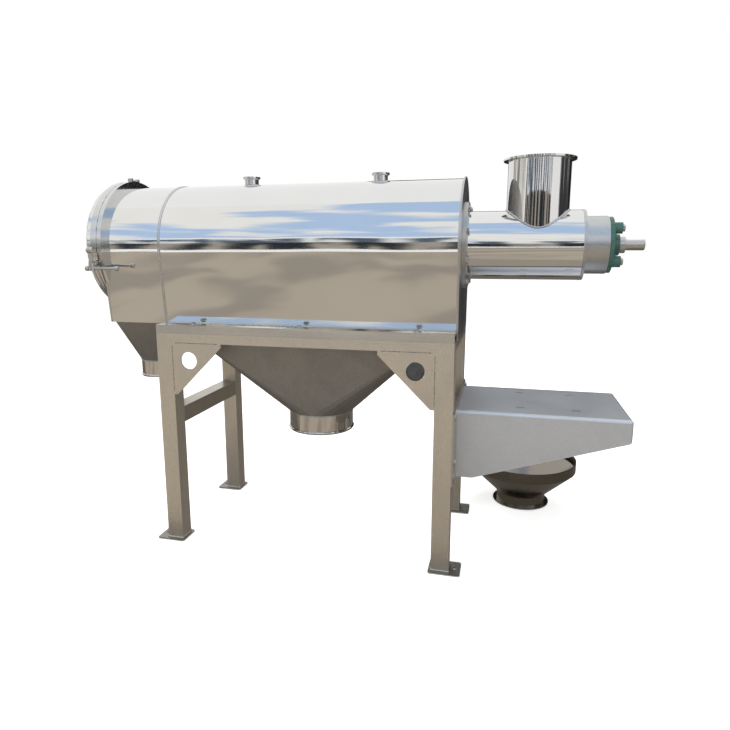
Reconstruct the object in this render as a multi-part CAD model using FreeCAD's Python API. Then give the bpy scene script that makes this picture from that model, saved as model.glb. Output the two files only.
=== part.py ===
# Centrifugal sieve on a four-legged stand, all lengths in millimetres.
# +X runs along the shaft towards the drive end, +Y to the rear, +Z up.
# The floor is z = 0 and the middle of the four legs is x = y = 0.
import FreeCAD, Part
import math
import os

os.makedirs("parts", exist_ok=True)
V = FreeCAD.Vector

# ---- fasteners, in bolt diameters -------------------------------------
HEX_ACROSS = 1.6
HEX_HEAD = 0.65
HEX_NUT = 0.8

# ---- stand ------------------------------------------------------------
LEG = 60.0                 # square leg tube, outside
TUBE_WALL = 3.0
STAND_LENGTH = 1054.0      # over the outer faces of the legs, along X
STAND_TOP = 787.0
RAIL_HEIGHT = 32.0
BRACE_TOP = 507.0
BRACE_HEIGHT = 60.0
FOOT_LENGTH = 108.0
FOOT_WIDTH = 88.0
FOOT_THICK = 7.0
FOOT_INNER_MARGIN = 9.0    # plate past the inner face of the leg
FOOT_CORNER = 8.0
ANCHOR_HOLE = 14.0
GUSSET_SIDE = 188.0
GUSSET_TIP = 13.0
GUSSET_THICK = 5.0
GUSSET_HOLE = 62.0
GUSSET_HOLE_IN = 63.0      # hole centre from the leg and from the rail

# ---- base frame between stand and casing ------------------------------
BASE_HEIGHT = 26.0
BASE_SHEET = 4.0
SILL_WIDTH = 71.0
LEDGE_WIDTH = 76.0         # casing foot to the front of the stand
BASE_BOLT = 10.0
BASE_BOLT_PITCH = 400.0

# ---- casing -----------------------------------------------------------
SHAFT_RISE = 279.0         # shaft above the casing foot
ARCH_R = 225.0
SHEET = 3.0
FOOT_FLANGE = 5.0          # out-turned flange along the casing foot
FOOT_TAPER = 25.0          # each side wall leans in by this much at its foot
TAIL_LENGTH = 228.0
PARTITION_THICK = 5.0
PARTITION_PROUD = 1.0
END_PLATE_THICK = 5.0
END_PLATE_PROUD = 6.0
DOOR_FRAME_THICK = 5.0
DOOR_OPENING_IN = 13.0     # opening radius smaller than the arch
SEAT_RING_PROUD = 25.0     # seat ring outside the arch
SEAT_RING_WIDTH = 12.0

# ---- hoppers and outlets ----------------------------------------------
FINES_NECK_R = 122.5
FINES_NECK_LENGTH = 72.0
FINES_DROP = 315.0         # stand top to neck
TAILS_NECK_R = 76.0
TAILS_NECK_LENGTH = 67.0
TAILS_DROP = 171.0         # casing foot to neck
TAILS_INSET = 20.0         # hopper inside the door frame's face
TAILS_NECK_SHIFT = 53.0    # neck nearer the door than the middle of the hopper
CORNER_FOLDS = 6           # press folds in each corner
BEAD = 4.0                 # half round bead rolled round each neck
BEAD_UP = 3.0              # plain edge below the bead

# ---- vent ferrules ----------------------------------------------------
VENT_R = 25.5
VENT_WALL = 2.0
VENT_FLANGE_R = 32.0
VENT_FLANGE_THICK = 6.0
VENT_TAPER = 3.0
VENT_HEIGHT = 28.0
VENT_LEFT_X = -262.0
VENT_RIGHT_X = 230.0

# ---- feed end ---------------------------------------------------------
FEED_R = 115.0
FEED_WALL = 4.0
FEED_LENGTH = 379.0
FEED_FLANGE_WIDTH = 32.0   # flange outside the feed tube
FEED_FLANGE_THICK = 12.0
FEED_BOLT = 12.0
FEED_BOLT_COUNT = 8
SPOUT_PLACE = 236.0        # spout axis from the casing end plate
SPOUT_R = 101.0
SPOUT_WALL = 3.0
SPOUT_HEIGHT = 281.0       # above the shaft
SPOUT_FLANGE_WIDTH = 15.5
SPOUT_FLANGE_THICK = 6.0

# ---- bearing housing --------------------------------------------------
HOUSING_R = 94.0
HOUSING_LENGTH = 79.0
HOUSING_COVER = 8.0
SEAL_R = 35.0
SEAL_WIDTH = 10.0
BEARING_R = 45.0
BEARING_WIDTH = 18.0
BEARING_START = 18.0       # from the feed end of the housing
SEAL_INSET = 1.0           # seal face inside the feed tube's end
BEARING_SHOULDER = 4.0     # housing shoulder ahead of the bearing
FLANGE_R = 91.0
FLANGE_THICK = 14.0
BOSS_R = 18.0
BOSS_LENGTH = 24.0
BOSS_PITCH = 106.0
HUB_R = 34.0
HUB_TAPER = 4.0
HUB_LENGTH = 25.0
INSERT_R = 31.0
INSERT_START = 4.0         # insert inside the casting's back face
INSERT_END = 2.0           # insert inside the hub's face
COLLAR_R = 26.5
COLLAR_LENGTH = 18.0
BEARING_BOLT = 12.0
BOLT_BITE = 15.0           # thread length inside the housing

# ---- rotor ------------------------------------------------------------
SHAFT_R = 25.0
JOURNAL_R = 20.0
SHAFT_END_R = 17.5
SHAFT_END_LENGTH = 60.0
SHAFT_CHAMFER = 2.0
SHOULDER_GAP = 4.0         # shaft shoulder to the outboard bush, and shaft end past it
BEARING_STEP = 3.0         # shaft step ahead of the inner bearing
KEY_WIDTH = 10.0
KEY_DEPTH = 5.0
KEY_LENGTH = 40.0
KEY_MARGIN = 6.0
RUN = 0.05                 # radial running clearance
TIP_GAP = 6.5              # paddle tip to screen
PADDLE_COUNT = 4
PADDLE_DEPTH = 38.0
PADDLE_THICK = 6.0
PADDLE_MARGIN = 20.0       # paddle end to screen end
SPIDER_COUNT = 4
SPIDER_MARGIN = 30.0       # outer spiders to the paddle ends
SPIDER_HUB_R = 40.0
SPIDER_WIDTH = 20.0
SPIDER_ARM = 24.0
FLIGHT_PITCH = 115.0
FLIGHT_TURNS = 3.0
FLIGHT_THICK = 5.0
FLIGHT_GAP = 7.5           # flight edge to feed tube
FLIGHT_START = 25.0        # from the casing end plate
FLIGHT_FACETS = 20         # facets in one turn

# ---- screen basket ----------------------------------------------------
SCREEN_SPACE = 24.0        # casing wall to the screen's end rings
MESH_THICK = 1.5
RING_DEPTH = 12.0
RING_WIDTH = 12.0
SCREEN_BARS = 8
SCREEN_BAR = 8.0
BUSH_R = 30.0
BUSH_LENGTH = 25.0
BUSH_HUB_R = 42.0
SPOKE = 30.0
SPOKE_COUNT = 3

# ---- door and clamp band ----------------------------------------------
DOOR_DEPTH = 52.0
DOOR_EDGE = 6.0
DOOR_SHEET = 3.0
DOOR_FLANGE_WIDTH = 6.0
DOOR_FLANGE_THICK = 4.0
GASKET = 3.0
BAND_THICK = 4.0
BAND_OVER = 2.0            # band outside the door flange
BAND_WIDTH = 25.0
BAND_LIP = 4.0
BAND_CLEAR = 1.0           # band to door frame
BAND_SPLIT_Y = 22.0        # bolted joint at the top
BAND_SPLIT = 16.0
JOINT_EAR = 6.0
JOINT_EAR_WIDTH = 20.0
JOINT_EAR_HEIGHT = 15.0
JOINT_EAR_PITCH = 42.0
JOINT_BOLT = 6.0
JOINT_THREAD = 8.0         # bolt past the far ear
LUG_Z = -13.0              # eye lug pin below the shaft line
LUG_DROP = 42.0            # lower fork below the pin
LUG_OUT = 17.0             # swing bolt axis outside the band
LUG_THICK = 5.0
LUG_R = 11.0
FORK_THICK = 8.0
FORK_CLEAR = 1.0           # fork slot round the swing bolt
PIN_R = 5.0
EYE_WIDTH = 13.0
SIDE_GAP = 0.4
SWING_BOLT_R = 5.0
NUT_R = 11.0
NUT_HEIGHT = 28.0
NUT_THREAD = 13.0          # bolt's depth in the nut, clear of the bar
BAR_DROP = 19.0            # bar axis below the nut's seat
BAR_R = 5.0
BAR_LENGTH = 136.0
BAR_GAP = 1.0              # knob to barrel nut when the bar rests
KNOB_R = 9.0
KNOB_LENGTH = 14.0
KNOB_CHAMFER = 2.5

# ---- door hinge -------------------------------------------------------
HINGE_OUT = 17.0           # pin axis outside the band
HINGE_BACK = 6.0           # pin axis past the seat ring
HINGE_PIN_R = 6.0
KNUCKLE_R = 10.0
KNUCKLE_LENGTH = 60.0
LUG_LENGTH = 30.0
HINGE_GAP = 0.5
HINGE_ARM_THICK = 12.0
HINGE_ARM_INSET = 8.0      # arm inside the band's left edge
HINGE_ARM_BITE = 2.0       # arm under the band's right edge
HINGE_WEB = 34.0
PIN_HEAD = 5.0
PIN_HEAD_PROUD = 3.0

# ---- motor bracket ----------------------------------------------------
BRACKET_TOP = 550.0
BRACKET_LENGTH = 550.0
BRACKET_WIDTH = 384.0
BRACKET_ROOT_HEIGHT = 233.0
BRACKET_TIP_HEIGHT = 74.0
BRACKET_FLAT = 58.0
BRACKET_SHEET = 5.0
BRACKET_BEND = 11.0
BACK_PLATE_THICK = 6.0
BACK_PLATE_MARGIN = 6.0
BRACKET_BOLT_LOW = 18.0    # lowest bolt above the bracket's bottom
BRACKET_BOLT_STEP = 50.0
BRACKET_BOLT_HIGH = 10.0   # highest bolt below the bracket's top
MOTOR_SLOT_X = 178.0
MOTOR_SLOT_Y = 216.0
MOTOR_SLOT_START = 208.0   # first slot row from the back plate
SLOT_WIDTH = 12.0
SLOT_LENGTH = 32.0
BRACKET_BOLT = 10.0

# ---- loose feed funnel ------------------------------------------------
FUNNEL_X = 777.0
FUNNEL_Y = 413.0
FUNNEL_R = 220.0
FUNNEL_SHEET = 3.0
FUNNEL_NECK_HEIGHT = 45.0
FUNNEL_CONE_HEIGHT = 112.0
FUNNEL_COLLAR = 41.0

# ---- derived places ---------------------------------------------------
X_LEG = STAND_LENGTH / 2.0
FOOT_HALF = ARCH_R - FOOT_TAPER
Y_LEG = FOOT_HALF + LEDGE_WIDTH
CASING_LEFT = -X_LEG
CASING_RIGHT = X_LEG
CASING_FOOT = STAND_TOP + BASE_HEIGHT
SHAFT_Z = CASING_FOOT + SHAFT_RISE
TAIL_RIGHT = CASING_LEFT - PARTITION_THICK
TAIL_LEFT = TAIL_RIGHT - TAIL_LENGTH
FRAME_LEFT = TAIL_LEFT - DOOR_FRAME_THICK
END_FACE = CASING_RIGHT + END_PLATE_THICK
FEED_END = END_FACE + FEED_LENGTH
FEED_FLANGE_R = FEED_R + FEED_FLANGE_WIDTH
FEED_BOLT_CIRCLE_R = FEED_R + FEED_FLANGE_WIDTH / 2.0
SPOUT_X = END_FACE + SPOUT_PLACE
SPOUT_TOP = SHAFT_Z + SPOUT_HEIGHT
SPOUT_FLANGE_R = SPOUT_R + SPOUT_FLANGE_WIDTH
HOUSING_END = FEED_END + HOUSING_LENGTH
FLANGE_END = HOUSING_END + FLANGE_THICK
HUB_END = FLANGE_END + HUB_LENGTH
COLLAR_END = HUB_END + COLLAR_LENGTH
SHAFT_TIP = COLLAR_END + SHAFT_END_LENGTH
SCREEN_OUT_R = ARCH_R - SHEET - SCREEN_SPACE - RING_DEPTH
SCREEN_R = SCREEN_OUT_R - MESH_THICK
PADDLE_TIP_R = SCREEN_R - TIP_GAP
PADDLE_ROOT_R = PADDLE_TIP_R - PADDLE_DEPTH
DOOR_BACK = FRAME_LEFT - GASKET
DOOR_OPENING_R = ARCH_R - DOOR_OPENING_IN
SEAT_RING_R = ARCH_R + SEAT_RING_PROUD
BAND_R = SEAT_RING_R
DOOR_FLANGE_R = BAND_R - BAND_THICK - BAND_OVER
DOOR_R = DOOR_FLANGE_R - DOOR_FLANGE_WIDTH
FINES_NECK_TOP = STAND_TOP - FINES_DROP
TAILS_NECK_TOP = CASING_FOOT - TAILS_DROP
TAILS_LEFT = FRAME_LEFT + TAILS_INSET
TAILS_RIGHT = TAIL_RIGHT + SHEET
TAILS_NECK_X = (TAILS_LEFT + TAILS_RIGHT) / 2.0 - TAILS_NECK_SHIFT
BAND_RIGHT = FRAME_LEFT - BAND_CLEAR
BAND_LEFT = BAND_RIGHT - BAND_WIDTH
BAND_MID = (BAND_LEFT + BAND_RIGHT) / 2.0
LUG_Y = -(BAND_R + LUG_OUT)
HINGE_X = TAIL_LEFT + SEAT_RING_WIDTH + HINGE_BACK
HINGE_Y = BAND_R + HINGE_OUT
BACK_PLATE_FACE = X_LEG + BACK_PLATE_THICK


# ---- helpers ----------------------------------------------------------
def block(x0, x1, y0, y1, z0, z1):
    return Part.makeBox(x1 - x0, y1 - y0, z1 - z0, V(x0, y0, z0))


def rod(radius, start, end):
    path = end - start
    return Part.makeCylinder(radius, path.Length, start, path)


def rod_x(radius, x0, x1, y, z):
    return rod(radius, V(x0, y, z), V(x1, y, z))


def rod_z(radius, z0, z1, x, y):
    return rod(radius, V(x, y, z0), V(x, y, z1))


def pipe_x(outer, inner, x0, x1, z=SHAFT_Z):
    return rod_x(outer, x0, x1, 0, z).cut(rod_x(inner, x0 - 1, x1 + 1, 0, z))


def prism(points, along):
    return Part.Face(Part.makePolygon(points + [points[0]])).extrude(along)


def turned(profile, centre, axis, outward):
    """Solid of revolution; the profile lists (distance along axis, radius)."""
    points = [centre + axis * a + outward * r for a, r in profile]
    face = Part.Face(Part.makePolygon(points + [points[0]]))
    return face.revolve(centre, axis, 360)


def turned_x(profile):
    return turned(profile, V(0, 0, SHAFT_Z), V(1, 0, 0), V(0, 0, 1))


def turned_z(profile, x, y):
    return turned(profile, V(x, y, 0), V(0, 0, 1), V(1, 0, 0))


def hexagon(across, start, direction):
    """Hexagonal head or nut that starts at a point and grows along a direction."""
    radius = across / math.sqrt(3.0)
    corners = [V(radius * math.cos(math.radians(60 * i)),
                 radius * math.sin(math.radians(60 * i)), 0) for i in range(6)]
    head = prism(corners, V(0, 0, direction.Length))
    turn = FreeCAD.Rotation(V(0, 0, 1), direction)
    head.Placement = FreeCAD.Placement(start, turn)
    return head


def bolt(size, start, direction, grip):
    """Hex bolt: head on the outside of start, shank of length grip behind it."""
    unit = V(direction).normalize()
    head = hexagon(HEX_ACROSS * size, start, unit * (HEX_HEAD * size))
    return head.fuse(rod(size / 2.0, start - unit * grip, start + unit)).removeSplitter()


def save(name, solids):
    shape = solids[0] if len(solids) == 1 else Part.makeCompound(solids)
    shape.exportStep("parts/" + name + ".step")


# ---- stand ------------------------------------------------------------
def square_tube(x0, x1, y0, y1, z0, z1, hollow):
    """Tube with square or flat section, hollow along the named axis."""
    wall = {axis: (0.0 if axis == hollow else TUBE_WALL) for axis in "xyz"}
    outer = block(x0, x1, y0, y1, z0, z1)
    inner = block(x0 + wall["x"], x1 - wall["x"], y0 + wall["y"], y1 - wall["y"],
                  z0 + wall["z"], z1 - wall["z"])
    return outer.cut(inner)


def bracket_bolt_places():
    low = BRACKET_TOP - BRACKET_ROOT_HEIGHT + BRACKET_BOLT_LOW
    return [(y, z) for y in (-(Y_LEG - LEG / 2.0), Y_LEG - LEG / 2.0)
            for z in (low, low + BRACKET_BOLT_STEP, BRACKET_TOP - BRACKET_BOLT_HIGH)]


def leg(side_x, side_y):
    x = sorted((side_x * X_LEG, side_x * (X_LEG - LEG)))
    y = sorted((side_y * Y_LEG, side_y * (Y_LEG - LEG)))
    tube = square_tube(x[0], x[1], y[0], y[1], FOOT_THICK, STAND_TOP, "z")
    if side_x > 0:
        for by, bz in bracket_bolt_places():
            tube = tube.cut(rod_x(BRACKET_BOLT / 2.0, X_LEG - LEG / 2.0, X_LEG + 1, by, bz))
    return tube


def foot(side_x, side_y):
    inner = X_LEG - LEG - FOOT_INNER_MARGIN
    outer = inner + FOOT_LENGTH
    y_mid = side_y * (Y_LEG - LEG / 2.0)
    x = sorted((side_x * inner, side_x * outer))
    plate = block(x[0], x[1], y_mid - FOOT_WIDTH / 2.0, y_mid + FOOT_WIDTH / 2.0, 0, FOOT_THICK)
    upright = [e for e in plate.Edges if abs(e.tangentAt(e.FirstParameter).z) > 0.9]
    plate = plate.makeFillet(FOOT_CORNER, upright)
    return plate.cut(rod_z(ANCHOR_HOLE / 2.0, -1, FOOT_THICK + 1, side_x * anchor_x(), y_mid))


def anchor_x():
    outer = X_LEG - LEG - FOOT_INNER_MARGIN + FOOT_LENGTH
    return (X_LEG + outer) / 2.0


def gusset(side_x, side_y):
    corner_x = X_LEG - LEG
    corner_z = STAND_TOP - RAIL_HEIGHT
    y = side_y * Y_LEG
    outline = [(0, 0), (GUSSET_SIDE, 0), (GUSSET_SIDE, GUSSET_TIP),
               (GUSSET_TIP, GUSSET_SIDE), (0, GUSSET_SIDE)]
    points = [V(side_x * (corner_x - a), y, corner_z - b) for a, b in outline]
    plate = prism(points, V(0, -side_y * GUSSET_THICK, 0))
    hole_x = side_x * (corner_x - GUSSET_HOLE_IN)
    hole_z = corner_z - GUSSET_HOLE_IN
    reach = 2 * GUSSET_THICK
    return plate.cut(rod(GUSSET_HOLE / 2.0, V(hole_x, y - reach, hole_z), V(hole_x, y + reach, hole_z)))


def make_stand():
    for end, sx in (("left", -1), ("right", 1)):
        save("leg_front_" + end, [leg(sx, -1)])
        save("leg_rear_" + end, [leg(sx, 1)])
        x = sorted((sx * X_LEG, sx * (X_LEG - LEG)))
        half = Y_LEG - LEG
        rail = square_tube(x[0], x[1], -half, half, STAND_TOP - RAIL_HEIGHT, STAND_TOP, "y")
        save("end_rail_" + end, [rail])
        brace = square_tube(x[0], x[1], -half, half, BRACE_TOP - BRACE_HEIGHT, BRACE_TOP, "y")
        save("brace_" + end, [brace])
    for face, sy in (("front", -1), ("rear", 1)):
        y = sorted((sy * Y_LEG, sy * (Y_LEG - LEG)))
        half = X_LEG - LEG
        rail = square_tube(-half, half, y[0], y[1], STAND_TOP - RAIL_HEIGHT, STAND_TOP, "x")
        save("rail_" + face, [rail])
    corners = [(sx, sy) for sx in (-1, 1) for sy in (-1, 1)]
    save("foot_plates", [foot(sx, sy) for sx, sy in corners])
    save("gusset_plates", [gusset(sx, sy) for sx, sy in corners])


# ---- base frame -------------------------------------------------------
def base_bolt_places():
    y = (Y_LEG + FOOT_HALF) / 2.0
    return [(x, sy * y) for x in (-BASE_BOLT_PITCH, 0.0, BASE_BOLT_PITCH) for sy in (-1, 1)]


def channel_points(inner, outer):
    """Upside-down channel between two distances from the middle."""
    top = CASING_FOOT
    low = STAND_TOP
    t = BASE_SHEET
    return [(inner, low), (inner, top), (outer, top), (outer, low),
            (outer - t, low), (outer - t, top - t), (inner + t, top - t), (inner + t, low)]


def base_channel(side):
    inner = FOOT_HALF - SHEET
    points = [V(CASING_LEFT, side * a, z) for a, z in channel_points(inner, Y_LEG)]
    channel = prism(points, V(STAND_LENGTH, 0, 0))
    for x, y in base_bolt_places():
        channel = channel.cut(rod_z(BASE_BOLT / 2.0, CASING_FOOT - BASE_SHEET - 1, CASING_FOOT + 1, x, y))
    return channel


def end_sill(side):
    half = FOOT_HALF - SHEET
    points = [V(side * a, -half, z) for a, z in channel_points(X_LEG - SILL_WIDTH, X_LEG)]
    return prism(points, V(0, 2 * half, 0))


def make_base():
    save("base_channel_front", [base_channel(-1)])
    save("base_channel_rear", [base_channel(1)])
    save("end_sills", [end_sill(-1), end_sill(1)])
    seat = CASING_FOOT + FOOT_FLANGE
    grip = FOOT_FLANGE + BASE_SHEET
    bolts = [bolt(BASE_BOLT, V(x, y, seat), V(0, 0, 1), grip) for x, y in base_bolt_places()]
    save("base_bolts", bolts)


# ---- casing -----------------------------------------------------------
def tangent_angle():
    """Angle on the arch where the leaning side wall leaves it."""
    drop = SHAFT_Z - CASING_FOOT
    reach = math.hypot(FOOT_HALF, drop)
    return math.acos(ARCH_R / reach) - math.atan2(drop, FOOT_HALF)


def section(offset, foot, x0, x1):
    """Solid with the casing's arched section, moved outward by an offset."""
    angle = tangent_angle()
    radius = ARCH_R + offset
    touch_y = radius * math.cos(angle)
    touch_z = SHAFT_Z + radius * math.sin(angle)
    foot_y = touch_y + (touch_z - foot) * math.tan(angle)
    right = V(x0, touch_y, touch_z)
    left = V(x0, -touch_y, touch_z)
    arch = Part.Arc(right, V(x0, 0, SHAFT_Z + radius), left).toShape()
    sides = Part.makePolygon([left, V(x0, -foot_y, foot), V(x0, foot_y, foot), right])
    return Part.Face(Part.Wire([arch] + sides.Edges)).extrude(V(x1 - x0, 0, 0))


def casing_shell(x0, x1):
    return section(0, CASING_FOOT, x0, x1).cut(section(-SHEET, CASING_FOOT, x0, x1))


def foot_flange(side):
    """Out-turned flange that stands on the base channel."""
    y = sorted((side * (FOOT_HALF - SHEET), side * Y_LEG))
    top = CASING_FOOT + FOOT_FLANGE
    flange = block(CASING_LEFT, CASING_RIGHT, y[0], y[1], CASING_FOOT, top)
    flange = flange.cut(section(-SHEET, STAND_TOP, CASING_LEFT - 1, CASING_RIGHT + 1))
    for bx, by in base_bolt_places():
        flange = flange.cut(rod_z(BASE_BOLT / 2.0, STAND_TOP, top + 1, bx, by))
    return flange


def main_casing():
    shell = casing_shell(CASING_LEFT, CASING_RIGHT)
    shell = shell.fuse(foot_flange(-1)).fuse(foot_flange(1)).removeSplitter()
    for x in (VENT_LEFT_X, VENT_RIGHT_X):
        shell = shell.cut(rod_z(VENT_R - VENT_WALL, SHAFT_Z, SHAFT_Z + 2 * ARCH_R, x, 0))
    return shell


def partition():
    """Plate between screen and tail box, with spokes to the outboard bush."""
    plate = section(PARTITION_PROUD, CASING_FOOT, TAIL_RIGHT, CASING_LEFT)
    window = rod_x(SCREEN_R, TAIL_RIGHT - 1, CASING_LEFT + 1, 0, SHAFT_Z)
    window = window.cut(rod_x(BUSH_HUB_R, TAIL_RIGHT - 1, CASING_LEFT + 1, 0, SHAFT_Z))
    for i in range(SPOKE_COUNT):
        spoke = block(TAIL_RIGHT - 1, CASING_LEFT + 1, -SPOKE / 2.0, SPOKE / 2.0,
                      SHAFT_Z, SHAFT_Z + SCREEN_R + SPOKE)
        spoke.rotate(V(0, 0, SHAFT_Z), V(1, 0, 0), 360.0 * i / SPOKE_COUNT)
        window = window.cut(spoke)
    bore = rod_x(BUSH_R, TAIL_RIGHT - 1, CASING_LEFT + 1, 0, SHAFT_Z)
    return plate.cut(window).cut(bore)


def end_plate():
    plate = section(END_PLATE_PROUD, STAND_TOP, CASING_RIGHT, END_FACE)
    plate = plate.cut(rod_x(FEED_R - FEED_WALL, CASING_RIGHT - 1, END_FACE + 1, 0, SHAFT_Z))
    for y, z in feed_bolt_places():
        plate = plate.cut(rod_x(FEED_BOLT / 2.0, CASING_RIGHT - 1, END_FACE + 1, y, z))
    return plate


def door_frame():
    round_part = rod_x(SEAT_RING_R, FRAME_LEFT, TAIL_LEFT, 0, SHAFT_Z)
    plate = section(0, CASING_FOOT, FRAME_LEFT, TAIL_LEFT).fuse(round_part).removeSplitter()
    return plate.cut(rod_x(DOOR_OPENING_R, FRAME_LEFT - 1, TAIL_LEFT + 1, 0, SHAFT_Z))


def door_seat_ring():
    x1 = TAIL_LEFT + SEAT_RING_WIDTH
    ring = pipe_x(SEAT_RING_R, DOOR_OPENING_R, TAIL_LEFT, x1)
    return ring.cut(section(0, CASING_FOOT - SEAT_RING_R, TAIL_LEFT - 1, x1 + 1))


def make_casing():
    save("main_casing", [main_casing()])
    save("tail_casing", [casing_shell(TAIL_LEFT, TAIL_RIGHT)])
    save("partition_plate", [partition()])
    save("casing_end_plate", [end_plate()])
    save("door_frame", [door_frame()])
    save("door_seat_ring", [door_seat_ring()])


# ---- hoppers and outlets ----------------------------------------------
def flat(points):
    return Part.Face(Part.makePolygon(points + [points[0]]))


def square_to_round(top, half_x, half_y, neck, neck_r):
    """Solid with four flat sides and press-folded corners, from a rectangle to a circle."""
    corners = [top + V(sx * half_x, sy * half_y, 0) for sx, sy in ((1, 1), (-1, 1), (-1, -1), (1, -1))]
    step = math.pi / 2 / CORNER_FOLDS
    ring = [neck + V(neck_r * math.cos(step * i), neck_r * math.sin(step * i), 0)
            for i in range(4 * CORNER_FOLDS)]
    faces = [flat(corners), flat(ring)]
    for i, corner in enumerate(corners):
        arc = [ring[(i * CORNER_FOLDS + k) % len(ring)] for k in range(CORNER_FOLDS + 1)]
        faces += [flat([corner, a, b]) for a, b in zip(arc, arc[1:])]
        faces.append(flat([corner, arc[-1], corners[(i + 1) % 4]]))
    body = Part.Solid(Part.Shell(faces))
    if body.Volume < 0:
        body.reverse()
    return body


def hopper(top, half_x, half_y, neck, neck_r):
    """Square-to-round sheet hopper, open at both ends."""
    drop = top.z - neck.z
    wall_x = SHEET * math.hypot(half_x - neck_r, drop) / drop
    wall_y = SHEET * math.hypot(half_y - neck_r, drop) / drop
    inner = square_to_round(top, half_x - wall_x, half_y - wall_y, neck, neck_r - SHEET)
    return square_to_round(top, half_x, half_y, neck, neck_r).cut(inner)


def outlet(x, top, length, radius):
    """Round outlet with a half round bead rolled near its lower edge."""
    low = top - length
    wall = radius - SHEET
    profile = [(low, wall), (low, radius)]
    for i in range(5):
        a = math.radians(-90 + 45 * i)
        profile.append((low + BEAD_UP + BEAD + BEAD * math.sin(a), radius + BEAD * math.cos(a)))
    profile += [(top, radius), (top, wall)]
    return turned_z(profile, x, 0)


def make_hoppers():
    fines_top = V(0, 0, STAND_TOP)
    half_x = X_LEG - SILL_WIDTH + SHEET
    save("fines_hopper", [hopper(fines_top, half_x, FOOT_HALF, V(0, 0, FINES_NECK_TOP), FINES_NECK_R)])
    save("fines_outlet", [outlet(0, FINES_NECK_TOP, FINES_NECK_LENGTH, FINES_NECK_R)])
    tails_top = V((TAILS_LEFT + TAILS_RIGHT) / 2.0, 0, CASING_FOOT)
    neck = V(TAILS_NECK_X, 0, TAILS_NECK_TOP)
    half_x = (TAILS_RIGHT - TAILS_LEFT) / 2.0
    save("tails_hopper", [hopper(tails_top, half_x, FOOT_HALF, neck, TAILS_NECK_R)])
    save("tails_outlet", [outlet(TAILS_NECK_X, TAILS_NECK_TOP, TAILS_NECK_LENGTH, TAILS_NECK_R)])


def vent(x):
    top = SHAFT_Z + ARCH_R + VENT_HEIGHT
    bore = VENT_R - VENT_WALL
    seat = top - VENT_FLANGE_THICK
    low = SHAFT_Z + ARCH_R / 2.0
    profile = [(low, bore), (low, VENT_R), (seat - VENT_TAPER, VENT_R), (seat, VENT_FLANGE_R),
               (top, VENT_FLANGE_R), (top, bore)]
    return turned_z(profile, x, 0).cut(section(0, CASING_FOOT, CASING_LEFT, CASING_RIGHT))


# ---- feed end ---------------------------------------------------------
def feed_bolt_places():
    step = 2 * math.pi / FEED_BOLT_COUNT
    return [(FEED_BOLT_CIRCLE_R * math.cos(step * (i + 0.5)),
             SHAFT_Z + FEED_BOLT_CIRCLE_R * math.sin(step * (i + 0.5))) for i in range(FEED_BOLT_COUNT)]


def feed_tube():
    tube = pipe_x(FEED_R, FEED_R - FEED_WALL, END_FACE, FEED_END)
    return tube.cut(rod_z(SPOUT_R - SPOUT_WALL, SHAFT_Z, SPOUT_TOP, SPOUT_X, 0))


def feed_flange():
    ring = pipe_x(FEED_FLANGE_R, FEED_R, END_FACE, END_FACE + FEED_FLANGE_THICK)
    for y, z in feed_bolt_places():
        ring = ring.cut(rod_x(FEED_BOLT / 2.0, END_FACE - 1, END_FACE + FEED_FLANGE_THICK + 1, y, z))
    return ring


def inlet_spout():
    pipe = rod_z(SPOUT_R, SHAFT_Z, SPOUT_TOP, SPOUT_X, 0)
    pipe = pipe.cut(rod_z(SPOUT_R - SPOUT_WALL, SHAFT_Z - 1, SPOUT_TOP + 1, SPOUT_X, 0))
    return pipe.cut(rod_x(FEED_R, END_FACE, FEED_END, 0, SHAFT_Z))


def make_feed_end():
    save("vent_ferrules", [vent(VENT_LEFT_X), vent(VENT_RIGHT_X)])
    save("feed_tube", [feed_tube()])
    save("feed_flange", [feed_flange()])
    face = END_FACE + FEED_FLANGE_THICK
    grip = FEED_FLANGE_THICK + END_PLATE_THICK
    bolts = [bolt(FEED_BOLT, V(face, y, z), V(1, 0, 0), grip) for y, z in feed_bolt_places()]
    save("feed_flange_bolts", bolts)
    save("inlet_spout", [inlet_spout()])
    low = SPOUT_TOP - SPOUT_FLANGE_THICK
    ring = [(low, SPOUT_R), (low, SPOUT_FLANGE_R), (SPOUT_TOP, SPOUT_FLANGE_R), (SPOUT_TOP, SPOUT_R)]
    save("inlet_flange", [turned_z(ring, SPOUT_X, 0)])


# ---- screen basket ----------------------------------------------------
def make_screen():
    rings = [pipe_x(SCREEN_OUT_R + RING_DEPTH, SCREEN_OUT_R, CASING_LEFT, CASING_LEFT + RING_WIDTH),
             pipe_x(SCREEN_OUT_R + RING_DEPTH, SCREEN_OUT_R, CASING_RIGHT - RING_WIDTH, CASING_RIGHT)]
    save("screen_end_rings", rings)
    bars = []
    for i in range(SCREEN_BARS):
        half = SCREEN_BAR / 2.0
        bar = block(CASING_LEFT + RING_WIDTH, CASING_RIGHT - RING_WIDTH, -half, half,
                    SHAFT_Z + SCREEN_R, SHAFT_Z + SCREEN_OUT_R + SCREEN_BAR)
        bar = bar.cut(rod_x(SCREEN_OUT_R, CASING_LEFT, CASING_RIGHT, 0, SHAFT_Z))
        bar.rotate(V(0, 0, SHAFT_Z), V(1, 0, 0), 360.0 * (i + 0.5) / SCREEN_BARS)
        bars.append(bar)
    save("screen_bars", bars)
    save("screen_mesh", [pipe_x(SCREEN_OUT_R, SCREEN_R, CASING_LEFT, CASING_RIGHT)])
    x1 = CASING_LEFT - PARTITION_THICK / 2.0 + BUSH_LENGTH / 2.0
    save("outboard_bush", [pipe_x(BUSH_R, JOURNAL_R + RUN, x1 - BUSH_LENGTH, x1)])


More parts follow.
